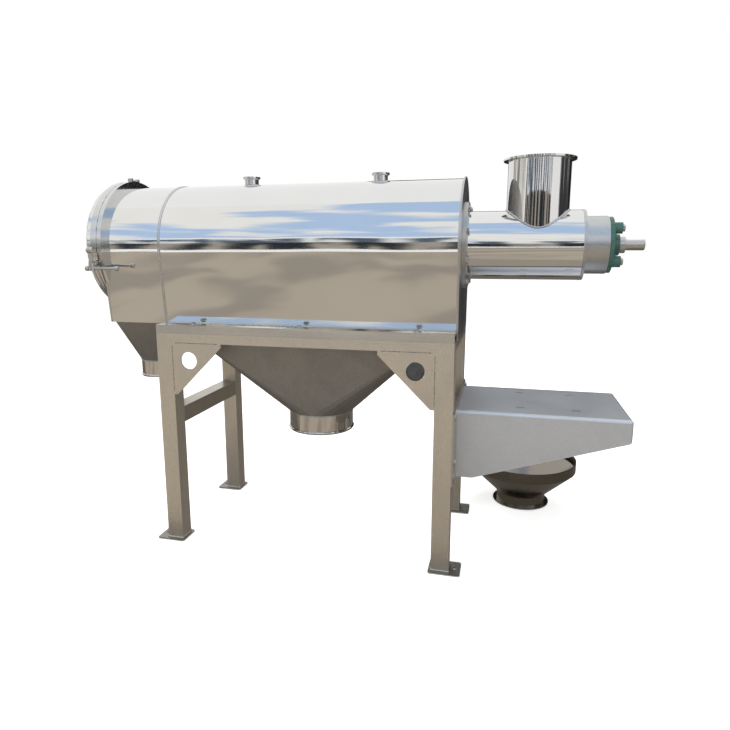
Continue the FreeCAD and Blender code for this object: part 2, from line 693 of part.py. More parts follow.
# ---- rotor ------------------------------------------------------------
def main_shaft():
    middle = CASING_LEFT - PARTITION_THICK / 2.0
    left = middle - BUSH_LENGTH / 2.0 - SHOULDER_GAP
    shoulder = middle + BUSH_LENGTH / 2.0 + SHOULDER_GAP
    bearing_step = FEED_END + BEARING_START - BEARING_STEP
    profile = [(left, 0), (left, JOURNAL_R), (shoulder, JOURNAL_R), (shoulder, SHAFT_R),
               (bearing_step, SHAFT_R), (bearing_step, JOURNAL_R), (COLLAR_END, JOURNAL_R),
               (COLLAR_END, SHAFT_END_R), (SHAFT_TIP - SHAFT_CHAMFER, SHAFT_END_R),
               (SHAFT_TIP, SHAFT_END_R - SHAFT_CHAMFER), (SHAFT_TIP, 0)]
    shaft = turned_x(profile)
    key_end = SHAFT_TIP - KEY_MARGIN
    key = block(key_end - KEY_LENGTH, key_end, -KEY_WIDTH / 2.0, KEY_WIDTH / 2.0,
                SHAFT_Z + SHAFT_END_R - KEY_DEPTH, SHAFT_Z + SHAFT_END_R + 1)
    return shaft.cut(key)


def flight_ring(turn):
    """Four corners of the flight's section after a number of turns."""
    angle = 2 * math.pi * turn
    x = END_FACE + FLIGHT_START + FLIGHT_PITCH * turn
    outer = FEED_R - FEED_WALL - FLIGHT_GAP
    corners = [(0, SHAFT_R), (0, outer), (FLIGHT_THICK, outer), (FLIGHT_THICK, SHAFT_R)]
    return [V(x + a, r * math.sin(angle), SHAFT_Z + r * math.cos(angle)) for a, r in corners]


def feed_screw():
    """Turns of flat flight wound on the shaft below the inlet, in short pressed facets."""
    count = int(round(FLIGHT_TURNS * FLIGHT_FACETS))
    rings = [flight_ring(float(i) / FLIGHT_FACETS) for i in range(count + 1)]
    faces = [flat(rings[0]), flat(rings[-1])]
    for a, b in zip(rings, rings[1:]):
        for i in range(4):
            j = (i + 1) % 4
            faces += [flat([a[i], b[i], a[j]]), flat([b[i], b[j], a[j]])]
    body = Part.Solid(Part.Shell(faces))
    if body.Volume < 0:
        body.reverse()
    return body.cut(rod_x(SHAFT_R, END_FACE, FEED_END, 0, SHAFT_Z))


def spider(x):
    """Hub on the shaft with one flat arm to each paddle."""
    hub = rod_x(SPIDER_HUB_R, x - SPIDER_WIDTH / 2.0, x + SPIDER_WIDTH / 2.0, 0, SHAFT_Z)
    for i in range(PADDLE_COUNT):
        arm = block(x - SPIDER_WIDTH / 2.0, x + SPIDER_WIDTH / 2.0, -SPIDER_ARM / 2.0, SPIDER_ARM / 2.0,
                    SHAFT_Z, SHAFT_Z + PADDLE_ROOT_R)
        arm.rotate(V(0, 0, SHAFT_Z), V(1, 0, 0), 360.0 * i / PADDLE_COUNT)
        hub = hub.fuse(arm)
    return hub.cut(rod_x(SHAFT_R, x - SPIDER_WIDTH, x + SPIDER_WIDTH, 0, SHAFT_Z)).removeSplitter()


def paddle(index):
    x0 = CASING_LEFT + PADDLE_MARGIN
    x1 = CASING_RIGHT - PADDLE_MARGIN
    half = PADDLE_THICK / 2.0
    bar = block(x0, x1, -half, half, SHAFT_Z + PADDLE_ROOT_R, SHAFT_Z + PADDLE_TIP_R)
    bar = bar.common(rod_x(PADDLE_TIP_R, x0, x1, 0, SHAFT_Z))
    bar.rotate(V(0, 0, SHAFT_Z), V(1, 0, 0), 360.0 * index / PADDLE_COUNT)
    return bar


def make_rotor():
    save("main_shaft", [main_shaft()])
    save("feed_screw", [feed_screw()])
    first = CASING_LEFT + PADDLE_MARGIN + SPIDER_MARGIN
    step = -2.0 * first / (SPIDER_COUNT - 1)
    save("rotor_spiders", [spider(first + i * step) for i in range(SPIDER_COUNT)])
    save("rotor_paddles", [paddle(i) for i in range(PADDLE_COUNT)])


# ---- bearing end ------------------------------------------------------
def boss_places():
    half = BOSS_PITCH / 2.0
    return [(sy * half, SHAFT_Z + sz * half) for sy in (-1, 1) for sz in (-1, 1)]


def bearing_housing():
    x0 = FEED_END
    bore_start = x0 + BEARING_START - BEARING_SHOULDER
    cover = x0 + HOUSING_COVER
    profile = [(x0, SEAL_R), (x0, FEED_R), (cover, FEED_R), (cover, HOUSING_R), (HOUSING_END, HOUSING_R),
               (HOUSING_END, BEARING_R), (bore_start, BEARING_R), (bore_start, SEAL_R)]
    body = turned_x(profile)
    for y, z in boss_places():
        body = body.cut(rod_x(BEARING_BOLT / 2.0, HOUSING_END - BOLT_BITE, HOUSING_END + 1, y, z))
    return body


def flange_bearing():
    """Cast four-bolt bearing unit with round plate, bosses and turned hub."""
    plate = rod_x(FLANGE_R, HOUSING_END, FLANGE_END, 0, SHAFT_Z)
    hub = Part.makeCone(HUB_R + HUB_TAPER, HUB_R, HUB_LENGTH, V(FLANGE_END, 0, SHAFT_Z), V(1, 0, 0))
    body = plate.fuse(hub)
    for y, z in boss_places():
        body = body.fuse(rod_x(BOSS_R, HOUSING_END, FLANGE_END + BOSS_LENGTH, y, z))
    body = body.removeSplitter()
    body = body.cut(rod_x(INSERT_R, HOUSING_END - 1, HUB_END + 1, 0, SHAFT_Z))
    for y, z in boss_places():
        body = body.cut(rod_x(BEARING_BOLT / 2.0, HOUSING_END - 1, FLANGE_END + BOSS_LENGTH + 1, y, z))
    return body


def bearing_insert():
    """Rotating inner ring with its locking collar."""
    r = INSERT_R - RUN
    start = HOUSING_END + INSERT_START
    step = HUB_END - INSERT_END
    profile = [(start, JOURNAL_R), (start, r), (step, r), (step, COLLAR_R), (COLLAR_END, COLLAR_R),
               (COLLAR_END, JOURNAL_R)]
    return turned_x(profile)


def make_bearings():
    save("bearing_housing", [bearing_housing()])
    seal = FEED_END + SEAL_INSET
    save("shaft_seal", [pipe_x(SEAL_R, SHAFT_R + RUN, seal, seal + SEAL_WIDTH)])
    start = FEED_END + BEARING_START
    save("inner_bearing", [pipe_x(BEARING_R, JOURNAL_R + RUN, start, start + BEARING_WIDTH)])
    save("flange_bearing", [flange_bearing()])
    save("bearing_insert", [bearing_insert()])
    face = FLANGE_END + BOSS_LENGTH
    grip = BOSS_LENGTH + FLANGE_THICK + BOLT_BITE
    bolts = [bolt(BEARING_BOLT, V(face, y, z), V(1, 0, 0), grip) for y, z in boss_places()]
    save("bearing_bolts", bolts)


# ---- door and clamp band ----------------------------------------------
def door_pan():
    """Shallow round cover with a rolled edge and a flat flange."""
    front = DOOR_BACK - DOOR_DEPTH
    t = DOOR_SHEET
    profile = [(DOOR_BACK, DOOR_OPENING_R), (DOOR_BACK, DOOR_FLANGE_R),
               (DOOR_BACK - DOOR_FLANGE_THICK, DOOR_FLANGE_R), (DOOR_BACK - DOOR_FLANGE_THICK, DOOR_R)]
    for i in range(4):
        a = math.radians(30 * i)
        profile.append((front + DOOR_EDGE * (1 - math.sin(a)), DOOR_R - DOOR_EDGE * (1 - math.cos(a))))
    profile += [(front, 0), (front + t, 0), (front + t, DOOR_R - DOOR_EDGE),
                (front + DOOR_EDGE, DOOR_R - t), (DOOR_BACK - DOOR_FLANGE_THICK, DOOR_R - t),
                (DOOR_BACK - DOOR_FLANGE_THICK, DOOR_OPENING_R)]
    return turned_x(profile)


def band_hoop():
    inner = BAND_R - BAND_THICK
    profile = [(BAND_LEFT, DOOR_R), (BAND_LEFT, BAND_R), (BAND_RIGHT, BAND_R), (BAND_RIGHT, inner),
               (BAND_LEFT + BAND_LIP, inner), (BAND_LEFT + BAND_LIP, DOOR_R)]
    return turned_x(profile)


def band_bed():
    """Cylinder that trims welded pieces, so that they bite half way into the band."""
    return rod_x(BAND_R - BAND_THICK / 2.0, BAND_LEFT - LUG_THICK, BAND_RIGHT + LUG_THICK, 0, SHAFT_Z)


def joint_ear(y):
    """Ear of the bolted joint at the top of the band."""
    z0 = SHAFT_Z + math.sqrt(BAND_R ** 2 - y ** 2) - BAND_THICK
    half = JOINT_EAR_WIDTH / 2.0
    ear = block(BAND_MID - half, BAND_MID + half, y - JOINT_EAR / 2.0, y + JOINT_EAR / 2.0,
                z0, joint_bolt_z() + JOINT_EAR_HEIGHT / 2.0)
    hole = V(BAND_MID, y - JOINT_EAR, joint_bolt_z())
    ear = ear.cut(rod(JOINT_BOLT / 2.0, hole, hole + V(0, 2 * JOINT_EAR, 0)))
    return ear.cut(band_bed())


def joint_bolt_z():
    return SHAFT_Z + BAND_R + JOINT_EAR_HEIGHT / 2.0


def joint_ear_places():
    half = JOINT_EAR_PITCH / 2.0
    return (BAND_SPLIT_Y - half, BAND_SPLIT_Y + half)


def joint_bolt():
    """Bolt across both ears, with a nut on its far end."""
    low, high = joint_ear_places()
    start = V(BAND_MID, low - JOINT_EAR / 2.0, joint_bolt_z())
    length = high - low + JOINT_EAR
    body = bolt(JOINT_BOLT, start, V(0, -1, 0), length + JOINT_THREAD)
    nut = hexagon(HEX_ACROSS * JOINT_BOLT, start + V(0, length, 0), V(0, HEX_NUT * JOINT_BOLT, 0))
    return body.fuse(nut).removeSplitter()


def lug_profile(x0, x1):
    """Eye lug plate that stands on the band and carries the swing bolt's pin."""
    z = SHAFT_Z + LUG_Z
    plate = block(x0, x1, LUG_Y, -ARCH_R, z - LUG_R, z + LUG_R)
    plate = plate.fuse(rod_x(LUG_R, x0, x1, LUG_Y, z)).removeSplitter()
    return plate.cut(band_bed())


def swing_x():
    return BAND_MID


def eye_lugs():
    x = swing_x()
    gap = EYE_WIDTH / 2.0 + SIDE_GAP
    pin = rod_x(PIN_R, x - gap - LUG_THICK, x + gap + LUG_THICK, LUG_Y, SHAFT_Z + LUG_Z)
    return [lug_profile(x - gap - LUG_THICK, x - gap), lug_profile(x + gap, x + gap + LUG_THICK), pin]


def fork():
    """Notched plate that the barrel nut pulls against."""
    x = swing_x()
    top = SHAFT_Z + LUG_Z - LUG_DROP + FORK_THICK / 2.0
    half = EYE_WIDTH / 2.0 + SIDE_GAP + LUG_THICK
    plate = block(x - half, x + half, LUG_Y, -ARCH_R, top - FORK_THICK, top)
    plate = plate.cut(rod_z(SWING_BOLT_R + FORK_CLEAR, top - FORK_THICK - 1, top + 1, x, LUG_Y))
    return plate.cut(band_bed())


def clamp_band():
    """Hoop in two segments: the long one runs round the rear."""
    hoop = band_hoop()
    high = SHAFT_Z + LUG_Z - LUG_R
    low = SHAFT_Z + LUG_Z - LUG_DROP + FORK_THICK / 2.0
    closure_gap = block(BAND_LEFT - 1, BAND_RIGHT + 1, -2 * BAND_R, -ARCH_R / 2.0, low, high)
    joint_gap = block(BAND_LEFT - 1, BAND_RIGHT + 1, BAND_SPLIT_Y - BAND_SPLIT / 2.0,
                      BAND_SPLIT_Y + BAND_SPLIT / 2.0, SHAFT_Z, SHAFT_Z + 2 * BAND_R)
    hoop = hoop.cut(closure_gap).cut(joint_gap)
    for piece in [joint_ear(y) for y in joint_ear_places()] + eye_lugs() + [fork()]:
        hoop = hoop.fuse(piece)
    return hoop.removeSplitter()


def swing_bolt():
    """Eye bolt that hangs from the lugs through the fork."""
    x = swing_x()
    z = SHAFT_Z + LUG_Z
    eye = rod_x(LUG_R, x - EYE_WIDTH / 2.0, x + EYE_WIDTH / 2.0, LUG_Y, z)
    body = eye.fuse(rod_z(SWING_BOLT_R, nut_seat() - NUT_THREAD, z, x, LUG_Y))
    return body.cut(rod_x(PIN_R + RUN, x - EYE_WIDTH, x + EYE_WIDTH, LUG_Y, z)).removeSplitter()


def nut_seat():
    """Underside of the fork, where the barrel nut bears."""
    return SHAFT_Z + LUG_Z - LUG_DROP - FORK_THICK / 2.0


def bar_z():
    return nut_seat() - BAR_DROP


def barrel_nut():
    x = swing_x()
    top = nut_seat()
    nut = rod_z(NUT_R, top - NUT_HEIGHT, top, x, LUG_Y)
    nut = nut.cut(rod_z(SWING_BOLT_R, top - NUT_THREAD, top + 1, x, LUG_Y))
    return nut.cut(rod_x(BAR_R + RUN, x - 2 * NUT_R, x + 2 * NUT_R, LUG_Y, bar_z()))


def tommy_bar():
    """Sliding cross bar with a knob at each end."""
    x0 = swing_x() - NUT_R - BAR_GAP - KNOB_LENGTH
    x1 = x0 + BAR_LENGTH
    c = KNOB_CHAMFER
    knob = [(0, KNOB_R - c), (c, KNOB_R), (KNOB_LENGTH - c, KNOB_R), (KNOB_LENGTH, KNOB_R - c)]
    profile = [(x0, 0)] + [(x0 + a, r) for a, r in knob] + [(x0 + KNOB_LENGTH, BAR_R)]
    profile += [(x1 - KNOB_LENGTH, BAR_R)] + [(x1 - a, r) for a, r in reversed(knob)] + [(x1, 0)]
    return turned(profile, V(0, LUG_Y, bar_z()), V(1, 0, 0), V(0, 0, 1))


def knuckle(z0, z1):
    return rod_z(KNUCKLE_R, z0, z1, HINGE_X, HINGE_Y)


def hinge_arm():
    """Door half of the hinge, welded to the rear of the band."""
    z0 = SHAFT_Z - KNUCKLE_LENGTH / 2.0
    z1 = SHAFT_Z + KNUCKLE_LENGTH / 2.0
    half = HINGE_ARM_THICK / 2.0
    arm = block(BAND_LEFT + HINGE_ARM_INSET, HINGE_X, ARCH_R, HINGE_Y + half, z0, z1)
    arm = arm.cut(rod_x(BAND_R, BAND_LEFT - 1, HINGE_X + 1, 0, SHAFT_Z))
    start = BAND_RIGHT - HINGE_ARM_BITE
    arm = arm.cut(block(start, HINGE_X + 1, ARCH_R - 1, HINGE_Y - half, z0 - 1, z1 + 1))
    arm = arm.fuse(knuckle(z0, z1)).removeSplitter()
    return arm.cut(rod_z(HINGE_PIN_R + RUN, z0 - 1, z1 + 1, HINGE_X, HINGE_Y))


def hinge_lug(z0):
    """Casing half of the hinge: a knuckle on a plate that stands on the side wall."""
    z1 = z0 + LUG_LENGTH
    outer = HINGE_Y + KNUCKLE_R - HINGE_PIN_R
    web = block(HINGE_X, HINGE_X + HINGE_WEB, ARCH_R / 2.0, outer, z0, z1)
    web = web.cut(section(0, CASING_FOOT, TAIL_LEFT, TAIL_RIGHT))
    web = web.fuse(knuckle(z0, z1)).removeSplitter()
    return web.cut(rod_z(HINGE_PIN_R, z0 - 1, z1 + 1, HINGE_X, HINGE_Y))


def hinge_pin():
    half = KNUCKLE_LENGTH / 2.0 + HINGE_GAP + LUG_LENGTH
    top = SHAFT_Z + half
    pin = rod_z(HINGE_PIN_R, SHAFT_Z - half, top + PIN_HEAD, HINGE_X, HINGE_Y)
    head = rod_z(HINGE_PIN_R + PIN_HEAD_PROUD, top, top + PIN_HEAD, HINGE_X, HINGE_Y)
    return pin.fuse(head).removeSplitter()


def make_door():
    save("door_pan", [door_pan()])
    save("door_gasket", [pipe_x(DOOR_FLANGE_R, DOOR_OPENING_R, DOOR_BACK, FRAME_LEFT)])
    band = clamp_band()
    save("clamp_band", band.Solids)
    save("band_joint_bolt", [joint_bolt()])
    save("swing_bolt", [swing_bolt()])
    save("barrel_nut", [barrel_nut()])
    save("tommy_bar", [tommy_bar()])
    save("hinge_arm", [hinge_arm()])
    upper = SHAFT_Z + KNUCKLE_LENGTH / 2.0 + HINGE_GAP
    lower = SHAFT_Z - KNUCKLE_LENGTH / 2.0 - HINGE_GAP - LUG_LENGTH
    save("hinge_lugs", [hinge_lug(upper), hinge_lug(lower)])
    save("hinge_pin", [hinge_pin()])


# ---- motor bracket ----------------------------------------------------
def folded_block(inset):
    """Solid with the bracket's folded outside, moved inward by an inset."""
    half = BRACKET_WIDTH / 2.0 - inset
    tip = BACK_PLATE_FACE + BRACKET_LENGTH - inset
    top = BRACKET_TOP - inset
    body = block(BACK_PLATE_FACE, tip, -half, half, BRACKET_TOP - BRACKET_ROOT_HEIGHT, top)
    folds = []
    for edge in body.Edges:
        c = edge.CenterOfMass
        on = [abs(abs(c.y) - half) < 1, abs(c.x - tip) < 1, abs(c.z - top) < 1]
        if sum(on) == 2:
            folds.append(edge)
    return body.makeFillet(BRACKET_BEND - inset, folds)


def bracket_side_outline():
    """Tapered side view of the bracket as a solid across its whole width."""
    x0 = BACK_PLATE_FACE
    x1 = x0 + BRACKET_LENGTH
    low = BRACKET_TOP - BRACKET_ROOT_HEIGHT
    tip = BRACKET_TOP - BRACKET_TIP_HEIGHT
    half = BRACKET_WIDTH
    points = [V(x0, -half, BRACKET_TOP), V(x1, -half, BRACKET_TOP), V(x1, -half, tip),
              V(x0 + BRACKET_FLAT, -half, low), V(x0, -half, low)]
    body = prism(points, V(0, 2 * half, 0))
    sharp = [e for e in body.Edges if abs(e.tangentAt(e.FirstParameter).y) > 0.9
             and e.CenterOfMass.x > x0 + 1 and e.CenterOfMass.z < BRACKET_TOP - 1]
    return body.makeFillet(BRACKET_BEND, sharp)


def motor_bracket():
    body = folded_block(0).cut(folded_block(BRACKET_SHEET)).common(bracket_side_outline())
    for x in motor_slot_rows():
        for side in (-1, 1):
            body = body.cut(slot(x, side * MOTOR_SLOT_Y / 2.0))
    return body


def motor_slot_rows():
    first = BACK_PLATE_FACE + MOTOR_SLOT_START
    return (first, first + MOTOR_SLOT_X)


def slot(x, y):
    straight = (SLOT_LENGTH - SLOT_WIDTH) / 2.0
    z0 = BRACKET_TOP - BRACKET_SHEET - 1
    z1 = BRACKET_TOP + 1
    body = block(x - straight, x + straight, y - SLOT_WIDTH / 2.0, y + SLOT_WIDTH / 2.0, z0, z1)
    for end in (-straight, straight):
        body = body.fuse(rod_z(SLOT_WIDTH / 2.0, z0, z1, x + end, y))
    return body.removeSplitter()


def back_plate():
    low = BRACKET_TOP - BRACKET_ROOT_HEIGHT - BACK_PLATE_MARGIN
    plate = block(X_LEG, BACK_PLATE_FACE, -Y_LEG, Y_LEG, low, BRACKET_TOP + BACK_PLATE_MARGIN)
    for y, z in bracket_bolt_places():
        plate = plate.cut(rod_x(BRACKET_BOLT / 2.0, X_LEG - 1, BACK_PLATE_FACE + 1, y, z))
    return plate


def make_bracket():
    save("motor_bracket", [motor_bracket()])
    save("bracket_back_plate", [back_plate()])
    grip = BACK_PLATE_THICK + TUBE_WALL
    places = [V(BACK_PLATE_FACE, y, z) for y, z in bracket_bolt_places()]
    save("bracket_bolts", [bolt(BRACKET_BOLT, place, V(1, 0, 0), grip) for place in places])


# ---- loose feed funnel ------------------------------------------------
def make_funnel():
    t = FUNNEL_SHEET
    z1 = FUNNEL_NECK_HEIGHT
    z2 = z1 + FUNNEL_CONE_HEIGHT
    z3 = z2 + FUNNEL_COLLAR
    flange = SPOUT_FLANGE_R
    neck = SPOUT_R
    slant = t * math.hypot(FUNNEL_CONE_HEIGHT, FUNNEL_R - neck) / (FUNNEL_R - neck) / 2.0
    rim = SPOUT_FLANGE_THICK
    profile = [(0, neck - t), (0, flange), (rim, flange), (rim, neck), (z1, neck), (z2, FUNNEL_R),
               (z3, FUNNEL_R), (z3, FUNNEL_R - t), (z2 + slant, FUNNEL_R - t), (z1 + slant, neck - t)]
    save("feed_funnel", [turned_z(profile, FUNNEL_X, FUNNEL_Y)])


make_stand()
make_base()
make_casing()
make_hoppers()
make_feed_end()
make_screen()
make_rotor()
make_bearings()
make_door()
make_bracket()
make_funnel()
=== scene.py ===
import math

import bpy
from mathutils import Matrix, Vector


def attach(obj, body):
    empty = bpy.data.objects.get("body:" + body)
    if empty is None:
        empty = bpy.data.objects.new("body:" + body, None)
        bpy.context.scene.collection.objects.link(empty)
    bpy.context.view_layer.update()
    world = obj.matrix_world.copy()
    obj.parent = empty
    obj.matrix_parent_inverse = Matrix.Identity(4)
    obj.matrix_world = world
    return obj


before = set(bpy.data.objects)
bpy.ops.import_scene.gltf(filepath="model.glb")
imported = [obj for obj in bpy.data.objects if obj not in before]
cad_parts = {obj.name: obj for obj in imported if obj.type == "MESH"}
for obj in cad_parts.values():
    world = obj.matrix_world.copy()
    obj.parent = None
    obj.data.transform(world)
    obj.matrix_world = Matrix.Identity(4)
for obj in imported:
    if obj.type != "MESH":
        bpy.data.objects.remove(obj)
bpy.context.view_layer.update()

# ---- material helpers ---------------------------------------------------
class Shader:
    """One Principled material with short ways to add procedural nodes."""

    def __init__(self, name, color, metallic, roughness):
        self.mat = bpy.data.materials.new(name)
        self.mat.use_nodes = True
        self.tree = self.mat.node_tree
        self.bsdf = self.tree.nodes["Principled BSDF"]
        self.set("Base Color", (*color, 1.0))
        self.set("Metallic", metallic)
        self.set("Roughness", roughness)
        self.coord = self.node("ShaderNodeTexCoord").outputs["Object"]

    def node(self, kind, **props):
        n = self.tree.nodes.new(kind)
        for key, value in props.items():
            setattr(n, key, value)
        return n

    def set(self, socket, value):
        self.bsdf.inputs[socket].default_value = value

    def link(self, a, b):
        self.tree.links.new(a, b)

    def mapped(self, scale):
        m = self.node("ShaderNodeMapping")
        m.inputs["Scale"].default_value = scale
        self.link(self.coord, m.inputs["Vector"])
        return m.outputs["Vector"]

    def noise(self, scale, detail, stretch=(1, 1, 1), rough=0.55, distortion=0.0):
        n = self.node("ShaderNodeTexNoise")
        n.inputs["Scale"].default_value = scale
        n.inputs["Detail"].default_value = detail
        n.inputs["Roughness"].default_value = rough
        n.inputs["Distortion"].default_value = distortion
        self.link(self.mapped(stretch), n.inputs["Vector"])
        return n.outputs["Fac"]

    def span(self, value, low_in, high_in, low_out, high_out):
        n = self.node("ShaderNodeMapRange")
        n.clamp = True
        for key, number in (("From Min", low_in), ("From Max", high_in),
                            ("To Min", low_out), ("To Max", high_out)):
            n.inputs[key].default_value = number
        self.link(value, n.inputs["Value"])
        return n.outputs["Result"]

    def mix(self, factor, a, b):
        n = self.node("ShaderNodeMix", data_type="RGBA")
        for socket, value in ((n.inputs[0], factor), (n.inputs[6], a), (n.inputs[7], b)):
            if isinstance(value, tuple):
                socket.default_value = (*value, 1.0)
            else:
                self.link(value, socket)
        return n.outputs[2]

    def math(self, operation, a, b):
        n = self.node("ShaderNodeMath", operation=operation)
        for socket, value in ((n.inputs[0], a), (n.inputs[1], b)):
            if isinstance(value, (int, float)):
                socket.default_value = value
            else:
                self.link(value, socket)
        return n.outputs[0]

    def color(self, output):
        self.link(output, self.bsdf.inputs["Base Color"])

    def roughness(self, output):
        self.link(output, self.bsdf.inputs["Roughness"])

    def bump(self, height, strength, distance, under=None):
        n = self.node("ShaderNodeBump")
        n.inputs["Strength"].default_value = strength
        n.inputs["Distance"].default_value = distance
        self.link(height, n.inputs["Height"])
        if under is not None:
            self.link(under, n.inputs["Normal"])
        self.link(n.outputs["Normal"], self.bsdf.inputs["Normal"])
        return n.outputs["Normal"]


def shade(color, factor):
    return tuple(min(1.0, c * factor) for c in color)


def mirror_steel(name, color, wave, polish, grain):
    """Polished sheet: soft waves of the rolled sheet, faint polishing lines and dull spots."""
    s = Shader(name, color, metallic=1.0, roughness=polish)
    cloud = s.noise(3.0, 3.0)
    s.color(s.mix(s.span(cloud, 0.3, 0.7, 0.0, 1.0), shade(color, 0.94), color))
    lines = s.noise(220.0, 2.0, grain)
    smear = s.noise(9.0, 5.0)
    dull = s.math("MULTIPLY", s.span(lines, 0.45, 0.75, 0.0, 0.05),
                  s.span(smear, 0.4, 0.7, 0.2, 1.0))
    s.roughness(s.math("ADD", dull, polish))
    waves = s.bump(s.noise(2.6, 1.0, (1.0, 1.6, 1.6)), wave, 0.006)
    s.bump(lines, 0.03, 0.0004, waves)
    return s


def brushed_steel(name, color, stretch, rough=0.34, streak=0.16, metal=1.0):
    """Ground tube or plate: long grain, cloudy stain, small scratches."""
    s = Shader(name, color, metallic=metal, roughness=rough)
    grain = s.noise(160.0, 3.0, stretch, rough=0.7)
    fine = s.noise(420.0, 2.0, stretch)
    stain = s.noise(5.5, 6.0)
    dark = shade(color, 1 - streak)
    light = shade(color, 1 + streak * 0.6)
    base = s.mix(s.span(grain, 0.35, 0.65, 0.0, 1.0), dark, light)
    s.color(s.mix(s.span(stain, 0.45, 0.75, 0.0, 0.35), base, shade(color, 0.72)))
    s.roughness(s.math("ADD", s.span(grain, 0.3, 0.7, -0.05, 0.08),
                       s.span(stain, 0.3, 0.7, rough - 0.04, rough + 0.06)))
    s.bump(fine, 0.25, 0.0003)
    return s


def blasted_steel(name, color):
    """Bead-blasted sheet: fine pitted grain with soft rubbed patches."""
    rough = 0.55
    s = Shader(name, color, metallic=0.95, roughness=rough)
    grain = s.noise(900.0, 2.0)
    speck = s.noise(260.0, 4.0)
    patch = s.noise(7.0, 6.0, distortion=0.4)
    base = s.mix(s.span(speck, 0.3, 0.7, 0.0, 1.0), shade(color, 0.84), shade(color, 1.1))
    s.color(s.mix(s.span(patch, 0.42, 0.72, 0.0, 0.5), base, shade(color, 0.72)))
    s.roughness(s.span(patch, 0.3, 0.7, rough - 0.1, rough + 0.08))
    s.bump(grain, 0.35, 0.0004)
    return s


def painted_iron(name, color):
    """Green machine paint on a casting."""
    s = Shader(name, color, metallic=0.0, roughness=0.42)
    peel = s.noise(130.0, 3.0)
    dirt = s.noise(26.0, 6.0)
    s.color(s.mix(s.span(dirt, 0.5, 0.75, 0.0, 0.7), color, shade(color, 0.45)))
    s.roughness(s.span(dirt, 0.3, 0.7, 0.34, 0.58))
    s.bump(peel, 0.4, 0.0006)
    s.set("Coat Weight", 0.25)
    s.set("Coat Roughness", 0.25)
    return s


def rubber(name, color):
    """Matt rubber or sealant with some dust."""
    s = Shader(name, color, metallic=0.0, roughness=0.6)
    dust = s.noise(60.0, 5.0)
    dusty = tuple(min(1.0, c * 1.5 + 0.02) for c in color)
    s.color(s.mix(s.span(dust, 0.4, 0.8, 0.0, 0.5), color, dusty))
    s.bump(s.noise(500.0, 2.0), 0.2, 0.0003)
    return s


MIRROR = (0.80, 0.80, 0.79)
WARM = (0.72, 0.66, 0.565)

# mirror_steel takes the sheet's waves, its roughness and the stretch of its polishing lines,
# brushed_steel the stretch of its grain, its roughness, the streaks' depth and how metallic it is
MATERIALS = {
    "casing": mirror_steel("casing_mirror", MIRROR, 0.55, 0.045, (8, 1, 1)),
    "tube": mirror_steel("tube_mirror", MIRROR, 0.25, 0.05, (1, 6, 6)),
    "spout": mirror_steel("spout_mirror", (0.74, 0.73, 0.72), 0.9, 0.04, (6, 6, 1)),
    "neck": mirror_steel("neck_mirror", (0.72, 0.70, 0.67), 0.7, 0.06, (1, 1, 8)),
    "satin_ring": mirror_steel("ring_satin", (0.70, 0.70, 0.69), 0.3, 0.16, (1, 1, 1)),
    "leg": brushed_steel("leg_brushed", WARM, (10, 10, 0.5), metal=0.92),
    "rail_x": brushed_steel("rail_brushed", WARM, (0.5, 10, 10), metal=0.92),
    # cross rails and braces take the frame's warm steel darkened to 0.8: painted shade for tubes
    # whose sides face away from the light
    "rail_y_painted_shade": brushed_steel("cross_rail_painted_shade", shade(WARM, 0.8), (10, 0.5, 10), metal=0.95),
    "gusset": brushed_steel("gusset_plate", (0.72, 0.66, 0.57), (3, 3, 9), 0.30, metal=0.92),
    "foot": brushed_steel("foot_plate", (0.36, 0.34, 0.31), (3, 9, 9), 0.42),
    "base": mirror_steel("base_channel_steel", (0.74, 0.75, 0.76), 0.5, 0.12, (1, 6, 6)),
    "plate": brushed_steel("end_plate_steel", (0.60, 0.59, 0.57), (6, 0.6, 6), 0.30),
    "hopper": blasted_steel("hopper_blasted", (0.375, 0.36, 0.34)),
    "bracket": brushed_steel("bracket_satin", (0.64, 0.67, 0.71), (0.8, 5, 8), 0.36, 0.12,
                             metal=0.85),
    "housing": brushed_steel("housing_turned", (0.58, 0.59, 0.59), (9, 1, 1), 0.30, 0.10),
    "bolt": brushed_steel("bolt_steel", (0.62, 0.62, 0.61), (4, 4, 4), 0.26),
    "shaft": brushed_steel("shaft_turned", (0.62, 0.60, 0.57), (14, 1, 1), 0.22),
    "green": painted_iron("bearing_green", (0.025, 0.085, 0.068)),
    "rubber": rubber("seal_rubber", (0.03, 0.03, 0.03)),
    "gasket": rubber("gasket_white", (0.55, 0.55, 0.52)),
    "weld": brushed_steel("weld_bead", (0.66, 0.65, 0.62), (3, 3, 3), 0.30),
    "seam": rubber("dark_seam", (0.05, 0.045, 0.04)),
    "bronze": brushed_steel("bush_bronze", (0.55, 0.36, 0.16), (1, 6, 6), 0.35),
    "screen": brushed_steel("screen_wire", (0.50, 0.50, 0.49), (6, 6, 6), 0.40),
    "rotor": brushed_steel("rotor_steel", (0.52, 0.51, 0.49), (1, 8, 8), 0.35),
    "funnel": brushed_steel("funnel_steel", (0.30, 0.275, 0.24), (1, 1, 9), 0.16),
}

